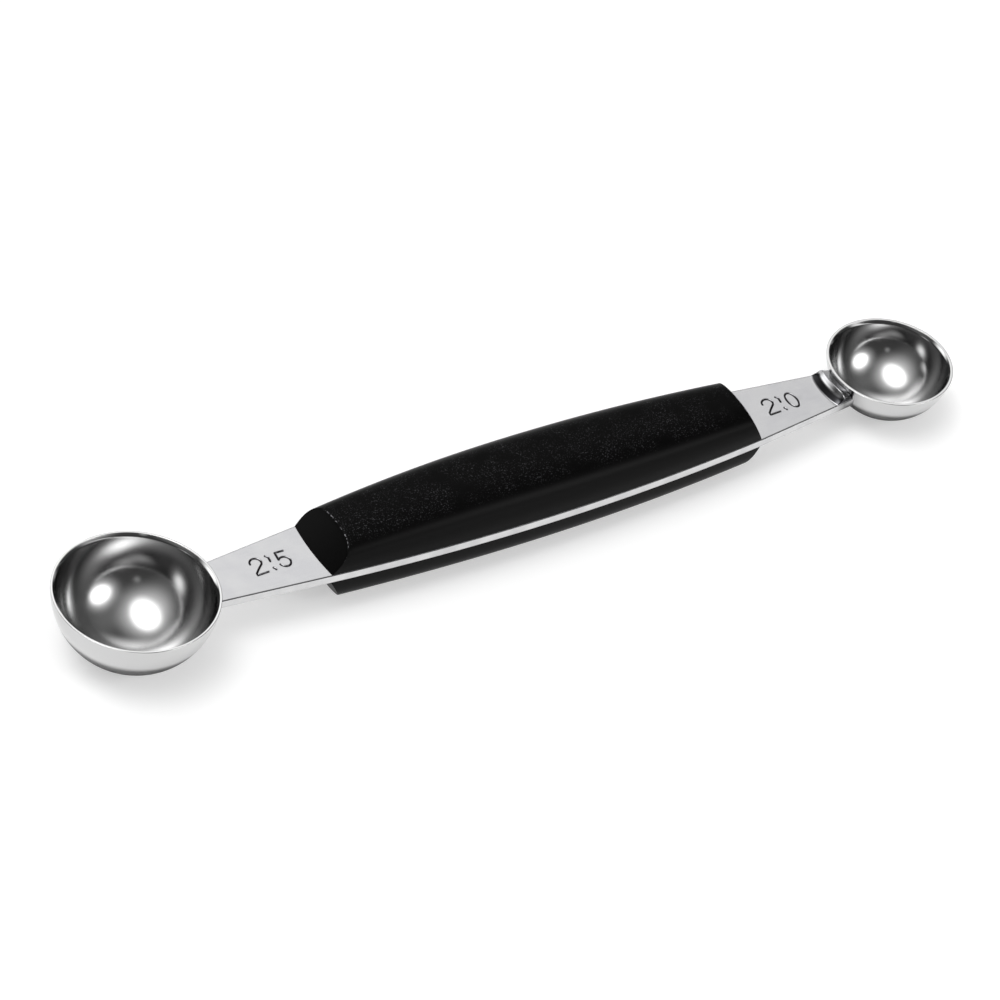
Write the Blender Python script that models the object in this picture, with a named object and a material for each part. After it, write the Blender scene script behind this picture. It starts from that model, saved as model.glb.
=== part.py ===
"""Double-ended melon baller: two steel bowls on one flat strip, held between two black handle scales.

Metres, +Z up. The origin lies under the middle of the overall length, on the plane of symmetry,
at the height of the large bowl's lowest point. +X runs from the large bowl to the small one.
"""

import math

import bmesh
import bpy

# Bowls: each one scoops a ball as wide as its mouth is inside.
LARGE_BALL_DIAMETER = 0.0250
SMALL_BALL_DIAMETER = 0.0200
LARGE_BOWL_DEPTH = 0.01275
SMALL_BOWL_DEPTH = 0.0095
BOWL_WALL = 0.0007
RIM_ROUNDING = 0.00025

# Strip: one flat bar from bowl to bowl, which is also the tang inside the handle.
STRIP_THICKNESS = 0.0016
LARGE_NECK_WIDTH = 0.0083
SMALL_NECK_WIDTH = 0.0074
LARGE_NECK_REACH = 0.0315
SMALL_NECK_REACH = 0.0289
LARGE_RIM_RISE = 0.00345
SMALL_RIM_RISE = 0.0021

# Lips: the strip's ends turn up against the bowls, where they are welded on.
LARGE_LIP_HEIGHT = 0.0010
LARGE_LIP_THICKNESS = 0.0004
LARGE_LIP_BEND_RADIUS = 0.0003
SMALL_LIP_HEIGHT = 0.00195
SMALL_LIP_THICKNESS = 0.00065
SMALL_LIP_BEND_RADIUS = 0.0007

# Handle: both scales and the tang between them share one barrel-shaped plan.
HANDLE_LENGTH = 0.0821
HANDLE_MIDDLE_WIDTH = 0.0158
HANDLE_END_WIDTH = 0.01187
UPPER_SCALE_HEIGHT = 0.0065
LOWER_SCALE_HEIGHT = 0.00585
SCALE_FOOT_HEIGHT = 0.0007
SCALE_EDGE_RADIUS = 0.0007
CROWN_PEAK_SETBACK = 0.0060
CROWN_SQUARENESS = 2.65

# Ends of the scales: bowed in plan, with a flat face that slopes back from the strip.
END_BOW = 0.0004
UPPER_LARGE_END_HEIGHT = 0.0045
UPPER_LARGE_END_ANGLE = math.radians(52.0)
UPPER_SMALL_END_HEIGHT = 0.0048
UPPER_SMALL_END_ANGLE = math.radians(63.0)
LOWER_LARGE_END_HEIGHT = 0.0058
LOWER_LARGE_END_ANGLE = math.radians(61.0)
LOWER_SMALL_END_HEIGHT = 0.0050
LOWER_SMALL_END_ANGLE = math.radians(59.0)

# Pins: hidden dowels that key the scales to the tang.
PIN_DIAMETER = 0.0030
PIN_SPACING = 0.0260
PIN_DEPTH_IN_SCALE = 0.0030
PIN_CHAMFER = 0.0004

# Gap left between pieces that touch on the real object.
SEAT_GAP = 0.0003

# Facets of the curved faces.
BOWL_SEGMENTS = 56
BOWL_RINGS = 12
RIM_STEPS = 3
NECK_COLUMNS = 8
BEND_STEPS = 6
SEAT_STEPS = 6
BARREL_STEPS = 20
CROWN_COLUMNS = 22
CROWN_ROWS = 22
END_FACE_ROUNDS = 12
PIN_SEGMENTS = 24

# Places worked out from the sizes above.
LARGE_OUTER_RADIUS = LARGE_BALL_DIAMETER / 2 + BOWL_WALL
SMALL_OUTER_RADIUS = SMALL_BALL_DIAMETER / 2 + BOWL_WALL
BOWL_SPACING = LARGE_NECK_REACH + HANDLE_LENGTH + SMALL_NECK_REACH
OVERALL_LENGTH = LARGE_OUTER_RADIUS + BOWL_SPACING + SMALL_OUTER_RADIUS
LARGE_BOWL_X = LARGE_OUTER_RADIUS - OVERALL_LENGTH / 2
SMALL_BOWL_X = LARGE_BOWL_X + BOWL_SPACING
HANDLE_START_X = LARGE_BOWL_X + LARGE_NECK_REACH
HANDLE_END_X = HANDLE_START_X + HANDLE_LENGTH
HANDLE_MIDDLE_X = (HANDLE_START_X + HANDLE_END_X) / 2
CROWN_PEAK_X = HANDLE_MIDDLE_X - CROWN_PEAK_SETBACK
LARGE_RIM_Z = LARGE_BOWL_DEPTH
STRIP_TOP_Z = LARGE_RIM_Z - LARGE_RIM_RISE
STRIP_BOTTOM_Z = STRIP_TOP_Z - STRIP_THICKNESS
SMALL_RIM_Z = STRIP_TOP_Z + SMALL_RIM_RISE


class Lip:
    """How far a strip end turns up, how thick it is at its top, and the radius it turns on."""

    def __init__(self, height, thickness, bend_radius):
        self.height = height
        self.thickness = thickness
        self.bend_radius = bend_radius


class Bowl:
    """A spherical cap with its mouth up, and the strip end that reaches it."""

    def __init__(self, x, rim_z, outer_radius, depth, toward_handle, neck_width, neck_reach, lip):
        self.x = x
        self.rim_z = rim_z
        self.outer_radius = outer_radius
        self.depth = depth
        self.toward_handle = toward_handle
        self.neck_width = neck_width
        self.neck_reach = neck_reach
        self.lip = lip
        # A cap of this mouth radius and depth is cut from a sphere of this radius.
        self.sphere_radius = (outer_radius ** 2 + depth ** 2) / (2 * depth)
        self.centre_z = rim_z - depth + self.sphere_radius

    def outer_wall_radius(self, z, clearance=0.0):
        """Distance from the bowl's axis to its outer wall at height z."""
        reach = self.sphere_radius + clearance
        return math.sqrt(reach ** 2 - (self.centre_z - z) ** 2)

    def neck_row(self, radius, z):
        """Points across the neck at one height, on an arc about the bowl's axis.

        The neck's two edges are straight and taper toward the bowl, so the arc's half angle
        is where a circle of this radius crosses an edge.
        """
        taper = (HANDLE_END_WIDTH - self.neck_width) / 2 / (self.neck_reach - self.outer_radius)
        edge_at_axis = self.neck_width / 2 - taper * self.outer_radius
        half_angle = math.atan(taper) + math.asin(edge_at_axis / (radius * math.hypot(1.0, taper)))
        row = []
        for share in across_shares():
            angle = half_angle * share
            x = self.x + self.toward_handle * radius * math.cos(angle)
            row.append((x, radius * math.sin(angle), z))
        return row

    def lip_profile(self):
        """Radius and height of each row from the foot of the seat, up over the lip, to the neck's top."""
        lip_z = STRIP_TOP_Z + self.lip.height
        profile = []
        for step in range(SEAT_STEPS + 1):
            z = STRIP_BOTTOM_Z + (lip_z - STRIP_BOTTOM_Z) * step / SEAT_STEPS
            profile.append((self.outer_wall_radius(z, SEAT_GAP), z))
        face_radius = profile[-1][0] + self.lip.thickness
        profile.append((face_radius, lip_z))
        bend = self.lip.bend_radius
        for step in range(BEND_STEPS + 1):
            angle = math.pi / 2 * (1.0 - step / BEND_STEPS)
            radius = face_radius + bend * (1.0 - math.sin(angle))
            profile.append((radius, STRIP_TOP_Z + bend * (1.0 - math.cos(angle))))
        return profile


LARGE_BOWL = Bowl(
    LARGE_BOWL_X, LARGE_RIM_Z, LARGE_OUTER_RADIUS, LARGE_BOWL_DEPTH,
    1.0, LARGE_NECK_WIDTH, LARGE_NECK_REACH,
    Lip(LARGE_LIP_HEIGHT, LARGE_LIP_THICKNESS, LARGE_LIP_BEND_RADIUS),
)
SMALL_BOWL = Bowl(
    SMALL_BOWL_X, SMALL_RIM_Z, SMALL_OUTER_RADIUS, SMALL_BOWL_DEPTH,
    -1.0, SMALL_NECK_WIDTH, SMALL_NECK_REACH,
    Lip(SMALL_LIP_HEIGHT, SMALL_LIP_THICKNESS, SMALL_LIP_BEND_RADIUS),
)


def across_shares():
    """Shares of the half width, from one edge of the strip to the other."""
    return [2.0 * column / NECK_COLUMNS - 1.0 for column in range(NECK_COLUMNS + 1)]


def handle_bulge(x):
    """How full the barrel shape is at x: 1 at the handle's middle, 0 at its ends."""
    return 1.0 - ((x - HANDLE_MIDDLE_X) / (HANDLE_LENGTH / 2)) ** 2


def handle_half_width(x):
    """Half the handle's width at x, for the tang and both scales."""
    return (HANDLE_END_WIDTH + (HANDLE_MIDDLE_WIDTH - HANDLE_END_WIDTH) * handle_bulge(x)) / 2


def make_material(name, colour, metallic, roughness):
    """A Principled BSDF material."""
    material = bpy.data.materials.new(name)
    material.use_nodes = True
    shader = material.node_tree.nodes["Principled BSDF"]
    shader.inputs["Base Color"].default_value = (*colour, 1.0)
    shader.inputs["Metallic"].default_value = metallic
    shader.inputs["Roughness"].default_value = roughness
    return material


def make_object(name, mesh_builder, material, sharp_angle=math.radians(35.0)):
    """Turn a finished bmesh into a named object, shaded smooth except at its sharp edges."""
    bmesh.ops.recalc_face_normals(mesh_builder, faces=mesh_builder.faces)
    mesh = bpy.data.meshes.new(name)
    mesh_builder.to_mesh(mesh)
    mesh_builder.free()
    mesh.materials.append(material)
    mesh.shade_smooth()
    mesh.set_sharp_from_angle(angle=sharp_angle)
    made = bpy.data.objects.new(name, mesh)
    bpy.context.collection.objects.link(made)
    return made


def make_bowl(name, bowl, material):
    """Spin the wall's closed profile about the bowl's axis."""
    inner_radius = bowl.sphere_radius - BOWL_WALL
    rim_level = bowl.rim_z - bowl.centre_z
    outer_end = math.acos(-(rim_level - RIM_ROUNDING) / bowl.sphere_radius)
    inner_end = math.acos(-rim_level / inner_radius)
    outer_rim_radius = bowl.sphere_radius * math.sin(outer_end)
    profile = []
    for ring in range(BOWL_RINGS + 1):
        angle = outer_end * ring / BOWL_RINGS
        profile.append((bowl.sphere_radius * math.sin(angle), -bowl.sphere_radius * math.cos(angle)))
    for step in range(1, RIM_STEPS + 1):
        turn = math.pi / 2 * step / RIM_STEPS
        radius = outer_rim_radius - RIM_ROUNDING * (1.0 - math.cos(turn))
        profile.append((radius, rim_level - RIM_ROUNDING + RIM_ROUNDING * math.sin(turn)))
    for ring in range(BOWL_RINGS, -1, -1):
        angle = inner_end * ring / BOWL_RINGS
        profile.append((inner_radius * math.sin(angle), -inner_radius * math.cos(angle)))

    shell = bmesh.new()
    points = [shell.verts.new((radius, 0.0, height)) for radius, height in profile]
    edges = [shell.edges.new(pair) for pair in zip(points, points[1:])]
    bmesh.ops.spin(
        shell, geom=points + edges, cent=(0.0, 0.0, 0.0), axis=(0.0, 0.0, 1.0),
        angle=math.tau, steps=BOWL_SEGMENTS, use_merge=True,
    )
    bmesh.ops.remove_doubles(shell, verts=shell.verts, dist=SEAT_GAP / 100)
    made = make_object(name, shell, material)
    made.location = (bowl.x, 0.0, bowl.centre_z)
    return made


def bridge_rows(builder, rows):
    """Skin neighbouring rows of points with quads. Returns the rows' vertices."""
    grid = [[builder.verts.new(point) for point in row] for row in rows]
    for here, there in zip(grid, grid[1:]):
        for column in range(len(here) - 1):
            builder.faces.new((here[column], here[column + 1], there[column + 1], there[column]))
    return grid


def fan_neck(builder, row, near_corner, far_corner):
    """Fill a neck's flat face with a fan to each corner at the handle and one large triangle between them."""
    middle = NECK_COLUMNS // 2
    for column in range(NECK_COLUMNS):
        corner = near_corner if column < middle else far_corner
        builder.faces.new((corner, row[column], row[column + 1]))
    builder.faces.new((near_corner, row[middle], far_corner))


def make_strip(name, material):
    """Skin each end from its seat up over its lip, then close the flats and the long edges.

    The barrel-shaped tang runs on past the scales by the seat gap, so the necks' flats are clear of them.
    """
    plate = bmesh.new()
    large_end, small_end = (
        bridge_rows(plate, [bowl.neck_row(radius, z) for radius, z in bowl.lip_profile()])
        for bowl in (LARGE_BOWL, SMALL_BOWL)
    )
    tang_start_x = HANDLE_START_X - SEAT_GAP
    tang_length = HANDLE_LENGTH + 2 * SEAT_GAP
    stations = [tang_start_x + tang_length * step / BARREL_STEPS for step in range(BARREL_STEPS + 1)]

    # The last row of each end meets the flat top, and the first row is the foot of the seat.
    edges = {}
    for level, row in ((STRIP_TOP_Z, -1), (STRIP_BOTTOM_Z, 0)):
        near = [plate.verts.new((x, -handle_half_width(x), level)) for x in stations]
        far = [plate.verts.new((x, handle_half_width(x), level)) for x in stations]
        plate.faces.new(near + far[::-1])
        fan_neck(plate, large_end[row], near[0], far[0])
        fan_neck(plate, small_end[row], near[-1], far[-1])
        edges[level] = (near, far)
    for side, column in ((0, 0), (1, -1)):
        top = edges[STRIP_TOP_Z][side]
        bottom = edges[STRIP_BOTTOM_Z][side]
        for index in range(BARREL_STEPS):
            plate.faces.new((top[index], top[index + 1], bottom[index + 1], bottom[index]))
        plate.faces.new([row[column] for row in large_end] + [top[0], bottom[0]])
        plate.faces.new([row[column] for row in small_end] + [top[-1], bottom[-1]])
    return make_object(name, plate, material)


def crown_section():
    """Points of the scale's D-shaped section, as shares of its half width and of its crown's height."""
    points = [(1.0, 0.0)]
    for column in range(1, CROWN_COLUMNS):
        angle = math.pi * column / CROWN_COLUMNS
        width_share = math.copysign(abs(math.cos(angle)) ** (2 / CROWN_SQUARENESS), math.cos(angle))
        points.append((width_share, math.sin(angle) ** (2 / CROWN_SQUARENESS)))
    points.append((-1.0, 0.0))
    return points


class ScaleEnd:
    """One end of a scale: where its face stands on the strip, how it slopes and how high the crown is there."""

    def __init__(self, foot_x, inward, crown_top, face_angle):
        self.foot_x = foot_x
        self.inward = inward
        self.crown_top = crown_top
        self.face_angle = face_angle

    def face_x(self, y, height):
        """Where the end face is at this place across the strip and height above it."""
        setback = END_BOW * (2 * y / HANDLE_END_WIDTH) ** 2 + height / math.tan(self.face_angle)
        return self.foot_x + self.inward * setback


class Scale:
    """A handle scale on one face of the strip: a low upright foot, a domed crown and sloping ends."""

    def __init__(self, face_z, upward, peak_height, large_end, small_end):
        self.face_z = face_z
        self.upward = upward
        self.peak_height = peak_height
        self.large_end = large_end
        self.small_end = small_end

    def crown_height(self, x):
        """Height of the crown above the foot at x. It peaks a little nearer the large bowl than the middle."""
        end = self.large_end if x < CROWN_PEAK_X else self.small_end
        fullness = 1.0 - ((x - CROWN_PEAK_X) / (end.foot_x - CROWN_PEAK_X)) ** 2
        return end.crown_top - SCALE_FOOT_HEIGHT + (self.peak_height - end.crown_top) * fullness

    def crown_point(self, x, width_share, height_share):
        """Place across the strip and height above it, at these shares of the section at x."""
        height = SCALE_FOOT_HEIGHT + self.crown_height(x) * height_share
        return handle_half_width(x) * width_share, height

    def edge_x(self, end, width_share, height_share):
        """Where the end face cuts the line that runs along the crown at these shares of its section.

        The crown changes along the handle, so each round starts from the last one's answer.
        """
        x = end.foot_x
        for _ in range(END_FACE_ROUNDS):
            x = end.face_x(*self.crown_point(x, width_share, height_share))
        return x

    def rounded_edge(self, end, width_share, height_share):
        """Points round the edge between an end face and the crown. The rounding fades out toward the foot."""
        edge_x = self.edge_x(end, width_share, height_share)
        y, height = self.crown_point(edge_x, width_share, height_share)
        soften = SCALE_EDGE_RADIUS * math.tan(end.face_angle / 2) * height_share
        face_height = height - soften * math.sin(end.face_angle)
        on_face = (end.face_x(y, face_height), y, face_height)
        crown_x = edge_x + end.inward * soften
        on_crown = (crown_x, *self.crown_point(crown_x, width_share, height_share))
        middle = tuple((a + 2 * b + c) / 4 for a, b, c in zip(on_face, (edge_x, y, height), on_crown))
        return [on_face, middle, on_crown]

    def line(self, width_share, height_share):
        """Points along the crown at these shares of its section, from one end face to the other."""
        start, finish = (
            self.rounded_edge(end, width_share, height_share) for end in (self.large_end, self.small_end)
        )
        first_x, last_x = start[-1][0], finish[-1][0]
        stations = [first_x + (last_x - first_x) * row / CROWN_ROWS for row in range(1, CROWN_ROWS)]
        between = [(x, *self.crown_point(x, width_share, height_share)) for x in stations]
        return [
            (x, y, self.face_z + self.upward * height) for x, y, height in start + between + finish[::-1]
        ]

    def base_line(self, crown_line):
        """Points along the base edge below the crown's line on the same side."""
        z = self.face_z + self.upward * SEAT_GAP
        side = math.copysign(1.0, crown_line[0][1])
        start_x, end_x = (
            end.face_x(HANDLE_END_WIDTH / 2, SEAT_GAP) for end in (self.large_end, self.small_end)
        )
        crown_length = crown_line[-1][0] - crown_line[0][0]
        points = []
        for crown_x, _, _ in crown_line:
            x = start_x + (end_x - start_x) * (crown_x - crown_line[0][0]) / crown_length
            points.append((x, side * handle_half_width(x), z))
        return points


UPPER_SCALE = Scale(
    STRIP_TOP_Z, 1.0, UPPER_SCALE_HEIGHT,
    ScaleEnd(HANDLE_START_X, 1.0, UPPER_LARGE_END_HEIGHT, UPPER_LARGE_END_ANGLE),
    ScaleEnd(HANDLE_END_X, -1.0, UPPER_SMALL_END_HEIGHT, UPPER_SMALL_END_ANGLE),
)
LOWER_SCALE = Scale(
    STRIP_BOTTOM_Z, -1.0, LOWER_SCALE_HEIGHT,
    ScaleEnd(HANDLE_START_X, 1.0, LOWER_LARGE_END_HEIGHT, LOWER_LARGE_END_ANGLE),
    ScaleEnd(HANDLE_END_X, -1.0, LOWER_SMALL_END_HEIGHT, LOWER_SMALL_END_ANGLE),
)


def make_scale(name, scale, material):
    """Skin the crown and its foot, stand both end faces on the base and close the base."""
    lines = [scale.line(width_share, height_share) for width_share, height_share in crown_section()]
    body = bmesh.new()
    grid = bridge_rows(body, [scale.base_line(lines[0])] + lines + [scale.base_line(lines[-1])])
    base_z = scale.face_z + scale.upward * SEAT_GAP
    base_ends = []
    for place, end in ((0, scale.large_end), (-1, scale.small_end)):
        above = [line[place] for line in grid[1:-1]]
        below = [grid[0][place]]
        for vertex in above[1:-1]:
            y = grid[0][place].co.y * vertex.co.y / handle_half_width(vertex.co.x)
            below.append(body.verts.new((end.face_x(y, SEAT_GAP), y, base_z)))
        below.append(grid[-1][place])
        for column in range(len(above) - 1):
            body.faces.new((above[column], above[column + 1], below[column + 1], below[column]))
        base_ends.append(below)
    large_below, small_below = base_ends
    body.faces.new(large_below + grid[-1][1:-1] + small_below[::-1] + grid[0][-2:0:-1])
    # The rounding fades to nothing at the foot, so its points meet there.
    bmesh.ops.remove_doubles(body, verts=body.verts, dist=SEAT_GAP / 100)
    return make_object(name, body, material)


def pin_places():
    """Where the pins stand along the handle, by name."""
    return {
        "pin_large_end": HANDLE_MIDDLE_X - PIN_SPACING,
        "pin_middle": HANDLE_MIDDLE_X,
        "pin_small_end": HANDLE_MIDDLE_X + PIN_SPACING,
    }


def make_round_bar(name, x, low_z, high_z, radius, chamfer, material):
    """An upright round bar with chamfered ends."""
    profile = [
        (0.0, low_z), (radius - chamfer, low_z), (radius, low_z + chamfer),
        (radius, high_z - chamfer), (radius - chamfer, high_z), (0.0, high_z),
    ]
    bar = bmesh.new()
    points = [bar.verts.new((distance, 0.0, height)) for distance, height in profile]
    edges = [bar.edges.new(pair) for pair in zip(points, points[1:])]
    bmesh.ops.spin(
        bar, geom=points + edges, cent=(0.0, 0.0, 0.0), axis=(0.0, 0.0, 1.0),
        angle=math.tau, steps=PIN_SEGMENTS, use_merge=True,
    )
    bmesh.ops.remove_doubles(bar, verts=bar.verts, dist=SEAT_GAP / 100)
    made = make_object(name, bar, material)
    made.location = (x, 0.0, 0.0)
    return made


def bore_for_pins(target, low_z, high_z, material):
    """Cut one hole for each pin through the target between two heights."""
    radius = PIN_DIAMETER / 2 + SEAT_GAP
    chamfer = PIN_CHAMFER / 2
    for pin_name, x in pin_places().items():
        cutter_name = f"{target.name}_{pin_name}_bore"
        cutter = make_round_bar(cutter_name, x, low_z, high_z, radius, chamfer, material)
        cutter.hide_render = True
        cutter.display_type = "WIRE"
        cut = target.modifiers.new(f"bore_{pin_name}", "BOOLEAN")
        cut.operation = "DIFFERENCE"
        cut.solver = "EXACT"
        cut.object = cutter


def build():
    """Clear the scene and make every piece of the melon baller."""
    for existing in list(bpy.data.objects):
        bpy.data.objects.remove(existing, do_unlink=True)

    satin_steel = make_material("satin_steel", (0.62, 0.62, 0.63), 1.0, 0.32)
    polished_steel = make_material("polished_steel", (0.66, 0.66, 0.67), 1.0, 0.08)
    black_plastic = make_material("black_plastic", (0.012, 0.012, 0.013), 0.0, 0.45)

    make_bowl("large_bowl", LARGE_BOWL, polished_steel)
    make_bowl("small_bowl", SMALL_BOWL, polished_steel)
    strip = make_strip("strip", satin_steel)
    upper = make_scale("upper_scale", UPPER_SCALE, black_plastic)
    lower = make_scale("lower_scale", LOWER_SCALE, black_plastic)

    # Each pin stops short of the blind bores' ends by the seat gap.
    pin_low_z = STRIP_BOTTOM_Z - PIN_DEPTH_IN_SCALE
    pin_high_z = STRIP_TOP_Z + PIN_DEPTH_IN_SCALE
    bore_low_z = pin_low_z - SEAT_GAP
    bore_high_z = pin_high_z + SEAT_GAP
    for pin_name, x in pin_places().items():
        make_round_bar(pin_name, x, pin_low_z, pin_high_z, PIN_DIAMETER / 2, PIN_CHAMFER, satin_steel)
    for target in (strip, upper, lower):
        bore_for_pins(target, bore_low_z, bore_high_z, satin_steel)


build()
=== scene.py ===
"""Looks of a double-ended melon baller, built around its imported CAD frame.

The pieces are made at the frame's own sizes. Sizes here are in millimetres, and each mesh is
scaled to metres as it is made. +X runs from the large bowl to the small one, and +Z is up.
"""

import logging
import math
from collections.abc import Callable
from dataclasses import dataclass
from enum import Enum

import bmesh
import bpy
from mathutils import Matrix, Vector


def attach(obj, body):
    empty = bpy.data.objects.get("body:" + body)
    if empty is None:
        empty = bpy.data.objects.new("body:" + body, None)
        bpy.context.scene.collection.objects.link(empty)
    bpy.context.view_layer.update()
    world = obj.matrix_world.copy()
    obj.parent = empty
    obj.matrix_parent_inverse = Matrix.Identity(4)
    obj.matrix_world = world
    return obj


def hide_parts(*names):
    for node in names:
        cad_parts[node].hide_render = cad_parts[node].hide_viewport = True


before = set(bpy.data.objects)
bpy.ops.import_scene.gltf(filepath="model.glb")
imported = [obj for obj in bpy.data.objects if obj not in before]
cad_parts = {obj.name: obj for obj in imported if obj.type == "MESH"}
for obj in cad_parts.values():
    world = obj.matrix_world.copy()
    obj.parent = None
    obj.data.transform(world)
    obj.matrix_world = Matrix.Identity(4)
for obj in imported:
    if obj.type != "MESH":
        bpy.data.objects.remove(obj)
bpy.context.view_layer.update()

log = logging.getLogger("melon_baller")

MM = 0.001
BODY = "root"
MERGE_DISTANCE = 0.0005
CLOUD_SIZE = 4.0
# Blender's noise seldom leaves this range.
NOISE_LOW, NOISE_HIGH = 0.3, 0.7

Point = tuple[float, float, float]
Flat = tuple[float, float]
Place = tuple[float, ...]


class Side(Enum):
    """Which face of the strip a scale lies on."""

    UPPER = 1.0
    LOWER = -1.0


class Slot(Enum):
    """The record's material slots."""

    POLISHED_STEEL = "polished_steel"
    SATIN_STEEL = "satin_steel"
    BLACK_PLASTIC = "black_plastic"


def linear(hex_colour: str) -> tuple[float, float, float, float]:
    """Turn an sRGB hex colour into linear light.

    Args:
        hex_colour: Six hex digits after a hash sign.

    Returns:
        Red, green and blue in linear light, and an alpha of 1.
    """
    channels = [int(hex_colour[place:place + 2], 16) / 255 for place in (1, 3, 5)]
    red, green, blue = (
        value / 12.92 if value <= 0.04045 else ((value + 0.055) / 1.055) ** 2.4
        for value in channels
    )
    return red, green, blue, 1.0


def add_node(
    tree: bpy.types.NodeTree, kind: str, inputs: dict | None = None, **settings: object
) -> bpy.types.Node:
    """Add one node, with its settings, its values and its links.

    Args:
        tree: The node tree that gets the node.
        kind: The node's type name.
        inputs: A value, or a socket to link from, for each input by name or number.
        settings: The node's own properties.

    Returns:
        The new node.
    """
    node = tree.nodes.new(kind)
    for name, value in settings.items():
        setattr(node, name, value)
    for name, value in (inputs or {}).items():
        if isinstance(value, bpy.types.NodeSocket):
            tree.links.new(value, node.inputs[name])
        else:
            node.inputs[name].default_value = value
    return node


def new_material(name: str) -> bpy.types.Material:
    """Make an empty node material."""
    material = bpy.data.materials.new(name)
    material.use_nodes = True
    material.node_tree.nodes.clear()
    return material


def spread(start: float, end: float, steps: int) -> list[float]:
    """Evenly spaced values from start to end, both included."""
    return [start + (end - start) * step / steps for step in range(steps + 1)]


def arc(
    centre: Flat, radii: Flat, start_degrees: float, end_degrees: float, steps: int
) -> list[Flat]:
    """Points along an arc of an ellipse.

    Args:
        centre: The ellipse's middle.
        radii: Its half width and half height.
        start_degrees: Where the arc starts, counted from +X toward +Y.
        end_degrees: Where it ends.
        steps: How many chords it is drawn with.

    Returns:
        The points from start to end.
    """
    turns = [math.radians(degrees) for degrees in spread(start_degrees, end_degrees, steps)]
    return [
        (centre[0] + radii[0] * math.cos(turn), centre[1] + radii[1] * math.sin(turn))
        for turn in turns
    ]


def bend(start: Place, corner: Place, end: Place, steps: int) -> list[Place]:
    """Points along a smooth curve that leaves start toward a corner and reaches end from it.

    Args:
        start: The curve's first point.
        corner: The corner that it rounds.
        end: Its last point.
        steps: How many chords it is drawn with.

    Returns:
        The points from start to end.
    """
    points = []
    for share in spread(0.0, 1.0, steps):
        weights = (1.0 - share) ** 2, 2 * share * (1.0 - share), share ** 2
        points.append(tuple(
            sum(weight * value for weight, value in zip(weights, values))
            for values in zip(start, corner, end)
        ))
    return points


def soften_corners(start: Flat, corners: tuple[Point, ...], end: Flat, steps: int) -> list[Flat]:
    """Points along a line whose corners are rounded.

    Args:
        start: The line's first point.
        corners: Each corner's place, and how far from it the rounding starts.
        end: Its last point.
        steps: How many chords each corner is drawn with.

    Returns:
        The points from start to end.
    """
    stops = [start, *(corner[:2] for corner in corners), end]
    points = [start]
    for before, corner, after in zip(stops, corners, stops[2:]):
        middle = Vector(corner[:2])
        reach = corner[2]
        sides = [middle + (Vector(other) - middle).normalized() * reach for other in (before, after)]
        points += bend(tuple(sides[0]), tuple(middle), tuple(sides[1]), steps)
    return points + [end]


def smooth_step(value: float) -> float:
    """Ease a share from 0 to 1, level at both ends."""
    share = min(1.0, max(0.0, value))
    return share * share * (3.0 - 2.0 * share)


def skin(builder: bmesh.types.BMesh, rows: list[list[Point]], closed: bool = False) -> list[list]:
    """Join neighbouring rows of points with quads.

    Args:
        builder: The mesh that gets the faces.
        rows: Rows of points in millimetres, all of one length.
        closed: True where each row is a ring.

    Returns:
        The rows' vertices.
    """
    grid = [[builder.verts.new(Vector(point) * MM) for point in row] for row in rows]
    for here, there in zip(grid, grid[1:]):
        count = len(here)
        for column in range(count if closed else count - 1):
            after = (column + 1) % count
            builder.faces.new((here[column], here[after], there[after], there[column]))
    return grid


def finish_mesh(
    name: str, builder: bmesh.types.BMesh, materials: list[bpy.types.Material],
    sharp_degrees: float = 40.0,
) -> bpy.types.Object:
    """Turn a finished mesh into an object that rides on the body.

    Args:
        name: The piece's name.
        builder: The mesh, which is freed.
        materials: Its finishes, in the order of its material numbers.
        sharp_degrees: Edges that turn by more than this are shaded sharp.

    Returns:
        The new object.
    """
    bmesh.ops.remove_doubles(builder, verts=builder.verts, dist=MERGE_DISTANCE * MM)
    bmesh.ops.dissolve_degenerate(builder, edges=builder.edges, dist=MERGE_DISTANCE * MM)
    bmesh.ops.recalc_face_normals(builder, faces=builder.faces)
    mesh = bpy.data.meshes.new(name)
    builder.to_mesh(mesh)
    builder.free()
    for material in materials:
        mesh.materials.append(material)
    mesh.shade_smooth()
    mesh.set_sharp_from_angle(angle=math.radians(sharp_degrees))
    made = bpy.data.objects.new(name, mesh)
    bpy.context.scene.collection.objects.link(made)
    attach(made, BODY)
    return made


# ---------------------------------------------------------------- finishes


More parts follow.
